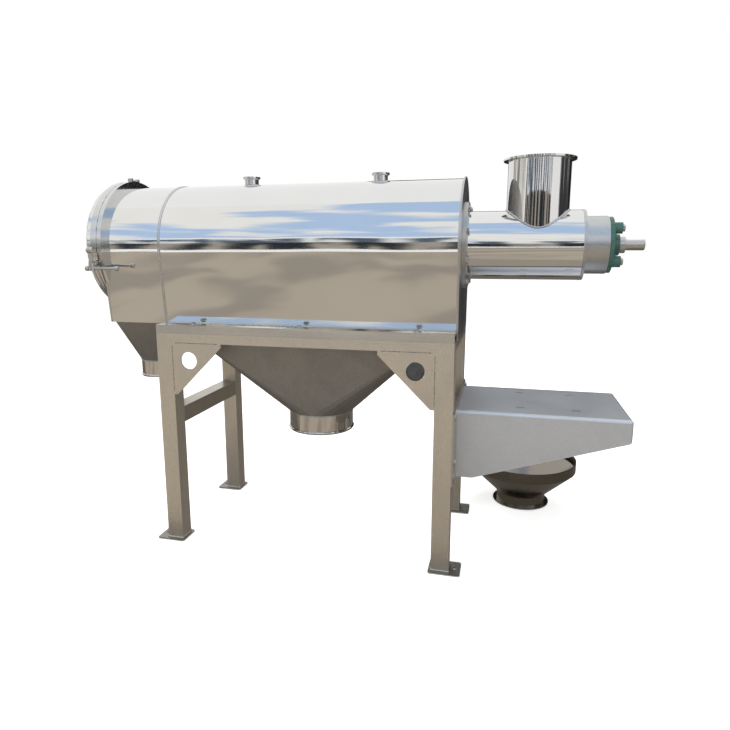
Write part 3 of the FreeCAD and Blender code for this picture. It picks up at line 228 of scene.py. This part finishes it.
NODE_LOOKS = {
    "casing": ["main_casing", "tail_casing"],
    "tube": ["feed_tube", "door_pan"],
    "spout": ["inlet_spout", "inlet_flange", "vent_ferrules"],
    "neck": ["fines_outlet", "tails_outlet"],
    "satin_ring": ["door_frame", "door_seat_ring", "clamp_band", "partition_plate"],
    "leg": ["leg_front_left", "leg_front_right", "leg_rear_left", "leg_rear_right"],
    "rail_x": ["rail_front", "rail_rear"],
    "rail_y_painted_shade": ["end_rail_left", "end_rail_right", "brace_left", "brace_right"],
    "gusset": ["gusset_plates"],
    "foot": ["foot_plates"],
    "base": ["base_channel_front", "base_channel_rear", "end_sills"],
    "plate": ["casing_end_plate", "feed_flange", "bracket_back_plate"],
    "hopper": ["fines_hopper", "tails_hopper"],
    "bracket": ["motor_bracket"],
    "housing": ["bearing_housing"],
    "bolt": ["base_bolts", "feed_flange_bolts", "bearing_bolts", "bracket_bolts",
             "band_joint_bolt", "swing_bolt", "barrel_nut", "tommy_bar",
             "hinge_arm", "hinge_lugs", "hinge_pin"],
    "shaft": ["main_shaft", "bearing_insert", "inner_bearing"],
    "green": ["flange_bearing"],
    "rubber": ["shaft_seal"],
    "gasket": ["door_gasket"],
    "bronze": ["outboard_bush"],
    "screen": ["screen_mesh", "screen_end_rings", "screen_bars"],
    "rotor": ["feed_screw", "rotor_spiders", "rotor_paddles"],
    "funnel": ["feed_funnel"],
}

for look, names in NODE_LOOKS.items():
    for name in names:
        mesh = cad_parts[name].data
        mesh.materials.clear()
        mesh.materials.append(MATERIALS[look].mat)


# ---- places of the pieces, in metres, as the solids have them -----------
ENDS = (("left", -1), ("right", 1))        # sign of x
FACES = (("front", -1), ("rear", 1))       # sign of y

SHAFT_Z = 1.092             # shaft above the floor
CASING_FOOT = 0.813         # lower edge of the casing's sheet
LEDGE_Z = 0.818             # top of the casing's foot flange
FOOT_HALF = 0.200           # casing, half width at its foot
ARCH_R = 0.225              # casing, radius of the arch
X_END = 0.527               # right face of the stand and end of the main casing
Y_END = 0.276               # front and rear faces of the stand
LEG = 0.060                 # side of a leg tube
FEED_R = 0.115
SPOUT_X = 0.768
SPOUT_R = 0.101
BAND_R = 0.250              # clamp band
BAND_MID = -0.7785

FOOT_WELD_Y = 0.2012        # where the casing's wall meets its foot flange
PARTITION_RIGHT = -0.5262   # faces of the partition plate
PARTITION_LEFT = -0.5328
DOOR_FRAME_X = -0.7598      # where the tail casing meets the door frame
SEAT_RING_X = -0.7665
FEED_FLANGE_X = 0.5448
FEED_END_X = 0.9105
SPOUT_FLANGE_Z = 1.3668     # underside of the inlet flange
FINES_NECK = (0, 0, 0.4715)
FINES_NECK_R = 0.1228
TAILS_NECK = (-0.690, 0, 0.6415)
TAILS_NECK_R = 0.0763
VENTS = (("left", -0.262), ("right", 0.230))
VENT_R = 0.0262
LEG_WELD_Z = 0.0082         # just above the foot plates

GUSSET_RAIL_Z = 0.755       # seam along the rail, and where it starts and ends beside the leg
GUSSET_RAIL_NEAR = 0.012
GUSSET_RAIL_FAR = 0.176
GUSSET_LEG_Z = (0.744, 0.580)
GUSSET_WELD_Z = (0.740, 0.575)
GUSSET_WELD_Y = 0.2695      # behind the plate

BRACKET_WELD_X = 0.5338
BRACKET_HALF = 0.1925       # half width of the sides and, above the bends, of the top
BRACKET_TOP_HALF = 0.1820
BRACKET_LOW = 0.3175
BRACKET_BEND = 0.5400
BRACKET_TOP = 0.5504
BRACKET_OPEN = 60           # points of the open lower side, left without weld

BASE_BOLTS_X = (-0.4, 0.0, 0.4)
BASE_BOLTS_Y = 0.238
FEED_BOLTS_X = 0.544
FEED_BOLTS_R = 0.131
FEED_BOLTS = 8
BRACKET_BOLTS_X = 0.533
BRACKET_BOLTS_Y = 0.246
BRACKET_BOLTS_Z = (0.335, 0.385, 0.540)

PLUG_CENTRE = (0.404, -0.2705, 0.692)      # hole of the right front gusset

ROD_START = 197             # closure rods, in degrees round the door
ROD_SWEEP = 31
ROD_STEPS = 24
ROD_APART = 0.0095          # half the distance between them where they start
ROD_LIFT = 0.0105           # above the band, where they start
ROD_SINK = 0.006            # nearer to the band, where they meet
TIP_LIFT = 0.0035

WELD_STEP = 0.006           # distance between the points of a straight run
RING_POINTS = 120
ARCH_STEPS = 90


# ---- added pieces -------------------------------------------------------
def make_mesh(name, verts, faces, material):
    mesh = bpy.data.meshes.new(name)
    mesh.from_pydata(verts, [], faces)
    mesh.materials.append(material)
    obj = bpy.data.objects.new(name, mesh)
    bpy.context.scene.collection.objects.link(obj)
    return obj


def add_piece(name, verts, faces, look, body):
    obj = make_mesh(name, verts, faces, MATERIALS[look].mat)
    for polygon in obj.data.polygons:
        polygon.use_smooth = True
    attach(obj, body)


def bead(name, points, radius, body="stand", look="weld",
         closed=False, ripple=0.18, sides=6):
    """Run of weld, wire or sealant along points, with a fine ripple in its thickness."""
    points = [Vector(p) for p in points]
    count = len(points)
    verts = []
    for i, point in enumerate(points):
        before = points[i - 1] if closed or i else point
        after = points[(i + 1) % count] if closed or i + 1 < count else point
        along = (after - before).normalized()
        steep = abs(along.z) > 0.98
        side = along.orthogonal() if steep else along.cross(Vector((0, 0, 1)))
        side.normalize()
        up = side.cross(along)
        r = radius * (1 + ripple * math.sin(i * 2.3) + 0.5 * ripple * math.sin(i * 0.7 + 1))
        for k in range(sides):
            angle = 2 * math.pi * k / sides
            verts.append(point + side * (r * math.cos(angle)) + up * (r * math.sin(angle)))
    faces = []
    for i in range(count if closed else count - 1):
        j = (i + 1) % count
        for k in range(sides):
            m = (k + 1) % sides
            faces.append((i * sides + k, j * sides + k, j * sides + m, i * sides + m))
    if not closed:
        faces.append(tuple(range(sides)))
        faces.append(tuple(reversed(range((count - 1) * sides, count * sides))))
    add_piece(name, verts, faces, look, body)


def straight(a, b):
    a, b = Vector(a), Vector(b)
    n = max(1, int((b - a).length / WELD_STEP))
    return [a.lerp(b, i / n) for i in range(n + 1)]


def loop(corners):
    """Points along a closed outline through corners."""
    points = []
    for a, b in zip(corners, corners[1:] + corners[:1]):
        points += straight(a, b)[:-1]
    return points


def circle(centre, radius, axis="x"):
    c = Vector(centre)
    ring = []
    for i in range(RING_POINTS):
        u = radius * math.cos(2 * math.pi * i / RING_POINTS)
        w = radius * math.sin(2 * math.pi * i / RING_POINTS)
        ring.append(c + (Vector((0, u, w)) if axis == "x" else Vector((u, w, 0))))
    return ring


def saddle(x, pipe_r, host_r, lift, count, grow=0.0, widen=1.0):
    """Seam where an upright pipe meets a round one that lies along the shaft."""
    seam = []
    for i in range(count):
        a = 2 * math.pi * i / count
        y = pipe_r * math.sin(a)
        seam.append((x + (pipe_r + grow) * math.cos(a), y * widen,
                     SHAFT_Z + math.sqrt(host_r ** 2 - y ** 2) + lift))
    return seam


def casing_line(x, offset, foot):
    """The casing's arched outline at one x, from the front foot to the rear foot."""
    drop = SHAFT_Z - CASING_FOOT
    lean = math.acos(ARCH_R / math.hypot(FOOT_HALF, drop)) - math.atan2(drop, FOOT_HALF)
    r = ARCH_R + offset
    y = r * math.cos(lean)
    z = SHAFT_Z + r * math.sin(lean)
    foot_y = y + (z - foot) * math.tan(lean)
    arc = []
    for i in range(ARCH_STEPS + 1):
        a = lean + (math.pi - 2 * lean) * i / ARCH_STEPS
        arc.append((x, -r * math.cos(a), SHAFT_Z + r * math.sin(a)))
    front = straight((x, -foot_y, foot), (x, -y, z))
    rear = straight((x, y, z), (x, foot_y, foot))
    return front + arc[1:-1] + rear


def make_casing_welds():
    for face, side in FACES:
        y = side * FOOT_WELD_Y
        z = LEDGE_Z + 0.0005
        bead("foot_weld_" + face, straight((-X_END, y, z), (X_END, y, z)), 0.0026)
    bead("partition_weld_right", casing_line(PARTITION_RIGHT, 0.0008, LEDGE_Z), 0.0016)
    bead("partition_weld_left", casing_line(PARTITION_LEFT, 0.0008, CASING_FOOT), 0.0016)
    bead("end_plate_weld", casing_line(X_END - 0.0005, 0.0010, LEDGE_Z), 0.0024)
    bead("tail_front_weld", casing_line(DOOR_FRAME_X, 0.0002, CASING_FOOT), 0.0012)


def make_feed_and_neck_welds():
    bead("feed_flange_weld", circle((FEED_FLANGE_X, 0, SHAFT_Z), FEED_R + 0.0008), 0.0030,
         closed=True)
    bead("feed_end_weld", circle((FEED_END_X, 0, SHAFT_Z), FEED_R - 0.0002), 0.0014,
         closed=True)
    bead("spout_weld", saddle(SPOUT_X, SPOUT_R, FEED_R, 0.001, 160, grow=0.001, widen=1.01),
         0.0030, closed=True)
    bead("spout_flange_weld", circle((SPOUT_X, 0, SPOUT_FLANGE_Z), SPOUT_R + 0.0004, "z"),
         0.0014, closed=True)
    bead("fines_neck_weld", circle(FINES_NECK, FINES_NECK_R, "z"), 0.0022, closed=True)
    bead("tails_neck_weld", circle(TAILS_NECK, TAILS_NECK_R, "z"), 0.0022, closed=True)
    for label, x in VENTS:
        bead("vent_weld_" + label, saddle(x, VENT_R, ARCH_R, 0.0005, 60), 0.0016, closed=True)


def make_stand_welds():
    for end, sx in ENDS:
        for face, sy in FACES:
            x0, x1 = sorted((sx * X_END, sx * (X_END - LEG)))
            y0, y1 = sorted((sy * Y_END, sy * (Y_END - LEG)))
            z = LEG_WELD_Z
            bead("leg_weld_%s_%s" % (face, end),
                 loop([(x0, y0, z), (x1, y0, z), (x1, y1, z), (x0, y1, z)]), 0.0028,
                 closed=True)
            corner = sx * (X_END - LEG)
            y = sy * (Y_END - 0.0002)
            bead("gusset_seam_rail_%s_%s" % (face, end),
                 straight((corner - sx * GUSSET_RAIL_NEAR, y, GUSSET_RAIL_Z),
                          (corner - sx * GUSSET_RAIL_FAR, y, GUSSET_RAIL_Z)),
                 0.0009, look="seam", ripple=0.4)
            high, low = GUSSET_LEG_Z
            bead("gusset_seam_leg_%s_%s" % (face, end),
                 straight((corner, y, high), (corner, y, low)), 0.0009, look="seam", ripple=0.4)
            x = corner - sx * 0.002
            y = sy * GUSSET_WELD_Y
            high, low = GUSSET_WELD_Z
            bead("gusset_weld_%s_%s" % (face, end), straight((x, y, high), (x, y, low)), 0.0022)


def make_bracket_weld():
    x = BRACKET_WELD_X
    outline = loop([(x, -BRACKET_HALF, BRACKET_LOW), (x, -BRACKET_HALF, BRACKET_BEND),
                    (x, -BRACKET_TOP_HALF, BRACKET_TOP), (x, BRACKET_TOP_HALF, BRACKET_TOP),
                    (x, BRACKET_HALF, BRACKET_BEND), (x, BRACKET_HALF, BRACKET_LOW)])
    bead("bracket_weld", outline[:-BRACKET_OPEN], 0.0024)


def make_seat_ring_seam():
    bead("seat_ring_seam", circle((SEAT_RING_X, 0, SHAFT_Z), BAND_R - 0.0012), 0.0012,
         look="seam", ripple=0.5, closed=True)


def washer(name, centre, inner, outer, thick, axis="z"):
    """Flat washer with rounded edges."""
    c = Vector(centre)
    profile = [(inner, 0), (inner, thick), (outer - thick * 0.3, thick), (outer, thick * 0.7),
               (outer, 0)]
    count = 32
    verts = []
    for i in range(count):
        a = 2 * math.pi * i / count
        for r, h in profile:
            u, w = r * math.cos(a), r * math.sin(a)
            verts.append(c + (Vector((u, w, h)) if axis == "z" else Vector((h, u, w))))
    n = len(profile)
    faces = [(i * n + k, ((i + 1) % count) * n + k, ((i + 1) % count) * n + (k + 1) % n,
              i * n + (k + 1) % n)
             for i in range(count) for k in range(n)]
    add_piece(name, verts, faces, "bolt", "stand")


def make_washers():
    for x in BASE_BOLTS_X:
        for face, side in FACES:
            washer("base_washer_%s_%d" % (face, round(x * 1000)),
                   (x, side * BASE_BOLTS_Y, LEDGE_Z), 0.0093, 0.0125, 0.0016)
    for i in range(FEED_BOLTS):
        a = 2 * math.pi * (i + 0.5) / FEED_BOLTS
        washer("feed_washer_%d" % i,
               (FEED_BOLTS_X, FEED_BOLTS_R * math.cos(a), SHAFT_Z + FEED_BOLTS_R * math.sin(a)),
               0.0112, 0.0140, 0.0018, axis="x")
    for y in (-BRACKET_BOLTS_Y, BRACKET_BOLTS_Y):
        for z in BRACKET_BOLTS_Z:
            washer("bracket_washer_%d_%d" % (round(y * 1000), round(z * 1000)),
                   (BRACKET_BOLTS_X, y, z), 0.0093, 0.0130, 0.0018, axis="x")


def make_plug():
    """Rubber blanking plug in the hole of the right front gusset."""
    centre = Vector(PLUG_CENTRE)
    # radius and place in front of the hole, from the middle of the face to the rim
    profile = [(0.0, -0.0068), (0.012, -0.0070), (0.024, -0.0066), (0.0300, -0.0058),
               (0.0306, -0.0030), (0.0300, 0.0)]
    count = 48
    verts = [centre + Vector((r * math.cos(2 * math.pi * i / count), h,
                              r * math.sin(2 * math.pi * i / count)))
             for i in range(count) for r, h in profile]
    n = len(profile)
    faces = [(i * n + k, ((i + 1) % count) * n + k, ((i + 1) % count) * n + k + 1,
              i * n + k + 1)
             for i in range(count) for k in range(n - 1)]
    add_piece("gusset_plug", verts, faces, "rubber", "stand")


def make_closure_rods():
    """Two wire legs of the closure that run down the band and meet at a welded tip."""
    for label, x in (("left", -ROD_APART), ("right", ROD_APART)):
        points = []
        for i in range(ROD_STEPS + 1):
            t = i / ROD_STEPS
            angle = math.radians(ROD_START + ROD_SWEEP * t)
            r = BAND_R + ROD_LIFT - ROD_SINK * t
            points.append((BAND_MID + x * (1 - 0.75 * t), r * math.cos(angle),
                           SHAFT_Z + r * math.sin(angle)))
        bead("closure_rod_" + label, points, 0.0026, body="door", look="bolt",
             ripple=0.0, sides=10)
    angle = math.radians(ROD_START + ROD_SWEEP)
    r = BAND_R + TIP_LIFT
    tip = [(BAND_MID + d, r * math.cos(angle), SHAFT_Z + r * math.sin(angle))
           for d in (-0.008, 0.0, 0.008)]
    bead("closure_rod_tip", tip, 0.0040, body="door", look="bolt",
         ripple=0.0, sides=10)


make_casing_welds()
make_feed_and_neck_welds()
make_stand_welds()
make_bracket_weld()
make_seat_ring_seam()
make_washers()
make_plug()
make_closure_rods()


# ---- stage --------------------------------------------------------------
FLOOR_HALF = 40.0
FLOOR_LIFT = 0.55           # glow of the floor where it is seen, so that it meets the backdrop
WORLD_LIGHT = 0.55          # strength with which the world lights the object
WORLD_SEEN = 1.0            # strength where the world is seen: white

CAMERA_PLACE = (0.6697, -2.1145, 1.0787)
CAMERA_YAW = 14.16          # degrees
CAMERA_TILT = 10.33         # below the level
CAMERA_ROLL = -0.12

BOARDS = (
    # name, corners, colour, and for an uneven one its second colour, noise scale and stretch
    ("board_ground",
     [(-9, -9, 0.004), (9, -9, 0.004), (9, -0.4, 0.004), (-9, -0.4, 0.004)],
     (0.50, 0.44, 0.36), ((0.36, 0.32, 0.27), 0.7, (1, 1, 1))),
    ("board_ground_back",
     [(-9, -0.4, 0.004), (9, -0.4, 0.004), (9, 9, 0.004), (-9, 9, 0.004)],
     (0.16, 0.145, 0.125), None),
    ("board_horizon",
     [(-9, -8.8, 0.4), (9, -8.8, 0.4), (9, -8.8, 2.2), (-9, -8.8, 2.2)],
     (0.03, 0.035, 0.04), ((0.42, 0.38, 0.33), 1.1, (1.6, 1, 0.25))),
    ("board_trees",
     [(-9, -8.7, 2.0), (9, -8.7, 2.0), (9, -8.7, 3.1), (-9, -8.7, 3.1)],
     (0.10, 0.13, 0.17), ((0.92, 0.93, 0.95), 0.9, (1.4, 1, 0.4))),
    ("board_sky",
     [(-9, -8.6, 3.4), (9, -8.6, 3.4), (9, -1.5, 8.5), (-9, -1.5, 8.5)],
     (0.50, 0.66, 0.92), ((0.97, 0.96, 0.93), 0.35, (1, 1, 1))),
    ("board_left",
     [(-7.0, -6.0, 0.0), (-7.0, -6.0, 5.0), (-7.0, 3.0, 5.0), (-7.0, 3.0, 0.0)],
     (0.90, 0.87, 0.80), ((0.30, 0.30, 0.31), 0.9, (1, 2.2, 0.6))),
    ("board_right",
     [(6.5, -1.5, 0.0), (6.5, -1.5, 3.4), (6.5, 6.5, 3.4), (6.5, 6.5, 0.0)],
     (0.05, 0.05, 0.055), ((0.30, 0.29, 0.27), 0.8, (1, 1.5, 0.5))),
    ("board_back",
     [(-1.0, 5.0, 0.0), (9, 5.0, 0.0), (9, 5.0, 3.2), (-1.0, 5.0, 3.2)],
     (0.02, 0.02, 0.022), None),
)


def direct_rays(tree):
    """1 where the camera, a polished surface or glass sees the surface, 0 where it lights others."""
    ray = tree.nodes.new("ShaderNodeLightPath")
    total = ray.outputs["Is Camera Ray"]
    for name in ("Is Glossy Ray", "Is Transmission Ray"):
        larger = tree.nodes.new("ShaderNodeMath")
        larger.operation = "MAXIMUM"
        tree.links.new(total, larger.inputs[0])
        tree.links.new(ray.outputs[name], larger.inputs[1])
        total = larger.outputs[0]
    return total


def link_patches(tree, glow, color, second, scale, stretch):
    """Uneven areas of a second colour in a board's glow."""
    coord = tree.nodes.new("ShaderNodeTexCoord")
    mapping = tree.nodes.new("ShaderNodeMapping")
    mapping.inputs["Scale"].default_value = stretch
    noise = tree.nodes.new("ShaderNodeTexNoise")
    noise.inputs["Scale"].default_value = scale
    noise.inputs["Detail"].default_value = 3.0
    edge = tree.nodes.new("ShaderNodeMapRange")
    edge.inputs["From Min"].default_value = 0.47
    edge.inputs["From Max"].default_value = 0.55
    blend = tree.nodes.new("ShaderNodeMix")
    blend.data_type = "RGBA"
    blend.inputs[6].default_value = (*color, 1.0)
    blend.inputs[7].default_value = (*second, 1.0)
    tree.links.new(coord.outputs["Object"], mapping.inputs["Vector"])
    tree.links.new(mapping.outputs["Vector"], noise.inputs["Vector"])
    tree.links.new(noise.outputs["Fac"], edge.inputs["Value"])
    tree.links.new(edge.outputs["Result"], blend.inputs[0])
    tree.links.new(blend.outputs[2], glow.inputs["Color"])


def card(name, corners, color, patches):
    """Studio board that is seen only in reflections."""
    mat = bpy.data.materials.new(name)
    mat.use_nodes = True
    tree = mat.node_tree
    tree.nodes.clear()
    out = tree.nodes.new("ShaderNodeOutputMaterial")
    glow = tree.nodes.new("ShaderNodeEmission")
    glow.inputs["Color"].default_value = (*color, 1.0)
    glow.inputs["Strength"].default_value = 1.0
    if patches is not None:
        link_patches(tree, glow, color, *patches)
    tree.links.new(glow.outputs[0], out.inputs["Surface"])
    obj = make_mesh(name, corners, [(0, 1, 2, 3)], mat)
    obj.visible_camera = False
    obj.visible_diffuse = False
    obj.visible_shadow = False


def make_floor():
    mat = bpy.data.materials.new("floor_white")
    mat.use_nodes = True
    tree = mat.node_tree
    bsdf = tree.nodes["Principled BSDF"]
    bsdf.inputs["Base Color"].default_value = (0.93, 0.93, 0.93, 1)
    bsdf.inputs["Emission Color"].default_value = (1, 1, 1, 1)
    bsdf.inputs["Roughness"].default_value = 0.9
    bsdf.inputs["Specular IOR Level"].default_value = 0.0
    glow = tree.nodes.new("ShaderNodeMapRange")
    glow.inputs["To Max"].default_value = FLOOR_LIFT
    tree.links.new(direct_rays(tree), glow.inputs["Value"])
    tree.links.new(glow.outputs["Result"], bsdf.inputs["Emission Strength"])
    h = FLOOR_HALF
    plane = make_mesh("floor", [(-h, -h, 0), (h, -h, 0), (h, h, 0), (-h, h, 0)],
                      [(0, 1, 2, 3)], mat)


def area(name, place, target, size, power):
    data = bpy.data.lights.new(name, "AREA")
    data.shape = "RECTANGLE"
    data.size, data.size_y = size
    data.energy = power
    obj = bpy.data.objects.new(name, data)
    bpy.context.scene.collection.objects.link(obj)
    obj.location = place
    obj.rotation_mode = "QUATERNION"
    obj.rotation_quaternion = (Vector(target) - Vector(place)).to_track_quat("-Z", "Y")
    obj.visible_glossy = False


def make_world():
    world = bpy.data.worlds.new("studio")
    bpy.context.scene.world = world
    world.use_nodes = True
    tree = world.node_tree
    back = tree.nodes["Background"]
    back.inputs["Color"].default_value = (1, 1, 1, 1)
    level = tree.nodes.new("ShaderNodeMapRange")
    level.inputs["To Min"].default_value = WORLD_LIGHT
    level.inputs["To Max"].default_value = WORLD_SEEN
    tree.links.new(direct_rays(tree), level.inputs["Value"])
    tree.links.new(level.outputs[0], back.inputs["Strength"])


def make_camera():
    data = bpy.data.cameras.new("camera")
    data.sensor_width = 36.0
    data.lens = 28.93
    data.shift_x = 0.0132
    data.shift_y = -0.0115
    data.clip_start = 0.05
    data.clip_end = 100.0
    cam = bpy.data.objects.new("camera", data)
    bpy.context.scene.collection.objects.link(cam)
    turn = (Matrix.Rotation(math.radians(CAMERA_YAW), 3, "Z")
            @ Matrix.Rotation(math.radians(90 - CAMERA_TILT), 3, "X"))
    turn = turn @ Matrix.Rotation(math.radians(CAMERA_ROLL), 3, "Z")
    cam.matrix_world = Matrix.Translation(CAMERA_PLACE) @ turn.to_4x4()
    bpy.context.scene.camera = cam


make_floor()
for board in BOARDS:
    card(*board)
make_world()
area("key", place=(-2.5, -3.5, 4.2), target=(0, 0, 0.8), size=(3.0, 3.0), power=190)
area("fill", place=(3.2, -3.0, 2.6), target=(0.3, 0, 0.7), size=(2.5, 2.5), power=80)
area("back", place=(0.5, 3.6, 4.0), target=(0.2, 0, 0.9), size=(3.0, 2.0), power=90)
make_camera()
bpy.context.scene.view_settings.view_transform = "Standard"
